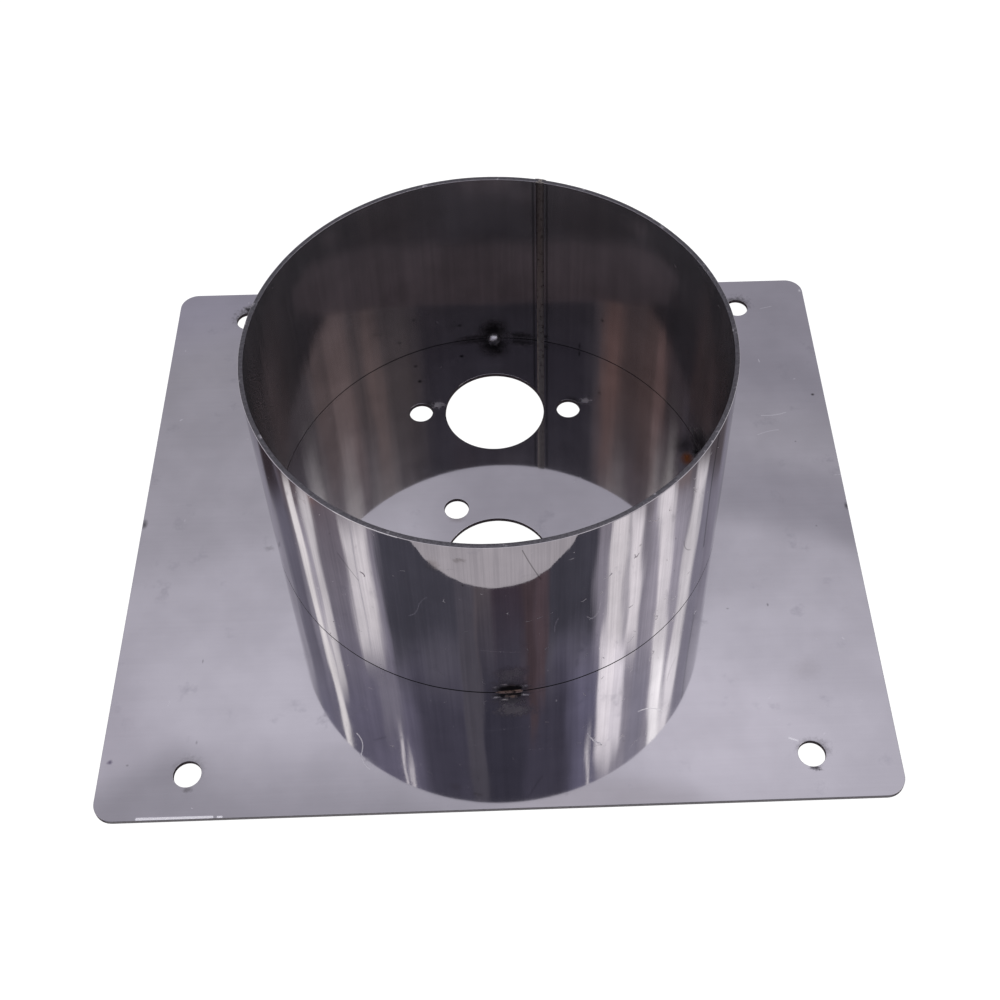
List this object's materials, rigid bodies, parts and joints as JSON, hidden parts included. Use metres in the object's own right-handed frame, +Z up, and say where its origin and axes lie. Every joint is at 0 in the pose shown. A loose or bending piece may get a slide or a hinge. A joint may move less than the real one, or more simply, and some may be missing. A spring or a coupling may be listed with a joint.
{
  "type": "mounting plate",
  "caption": "Sheet-metal mounting plate with an upstanding welded collar, corner screw holes, and pipe, stud and fuel-line holes in the floor of the collar.",
  "frame": {"origin": "centre of the plate's underside", "axes": "+Z up through the collar, +Y to the plate edge that the collar stands nearer to (the far edge in the picture), +X to the right"},
  "size_m": [0.19, 0.17, 0.0632],
  "materials": {
    "plate_sheet": "bright rolled stainless sheet with faint smudges, nicks and laser-cut edges",
    "collar_sheet": "bright stainless sheet, polished lines outside, duller and brownish inside, heat tint at the tacks",
    "weld_metal": "as-welded bead with fine ripples and dark edges"
  },
  "bodies": {
    "root": {"base_plate": "plate_sheet", "collar": "collar_sheet", "seam_weld": "weld_metal", "tack_weld_rear": "weld_metal", "tack_weld_right": "weld_metal", "tack_weld_front": "weld_metal", "tack_weld_left": "weld_metal"}
  },
  "joints": []
}
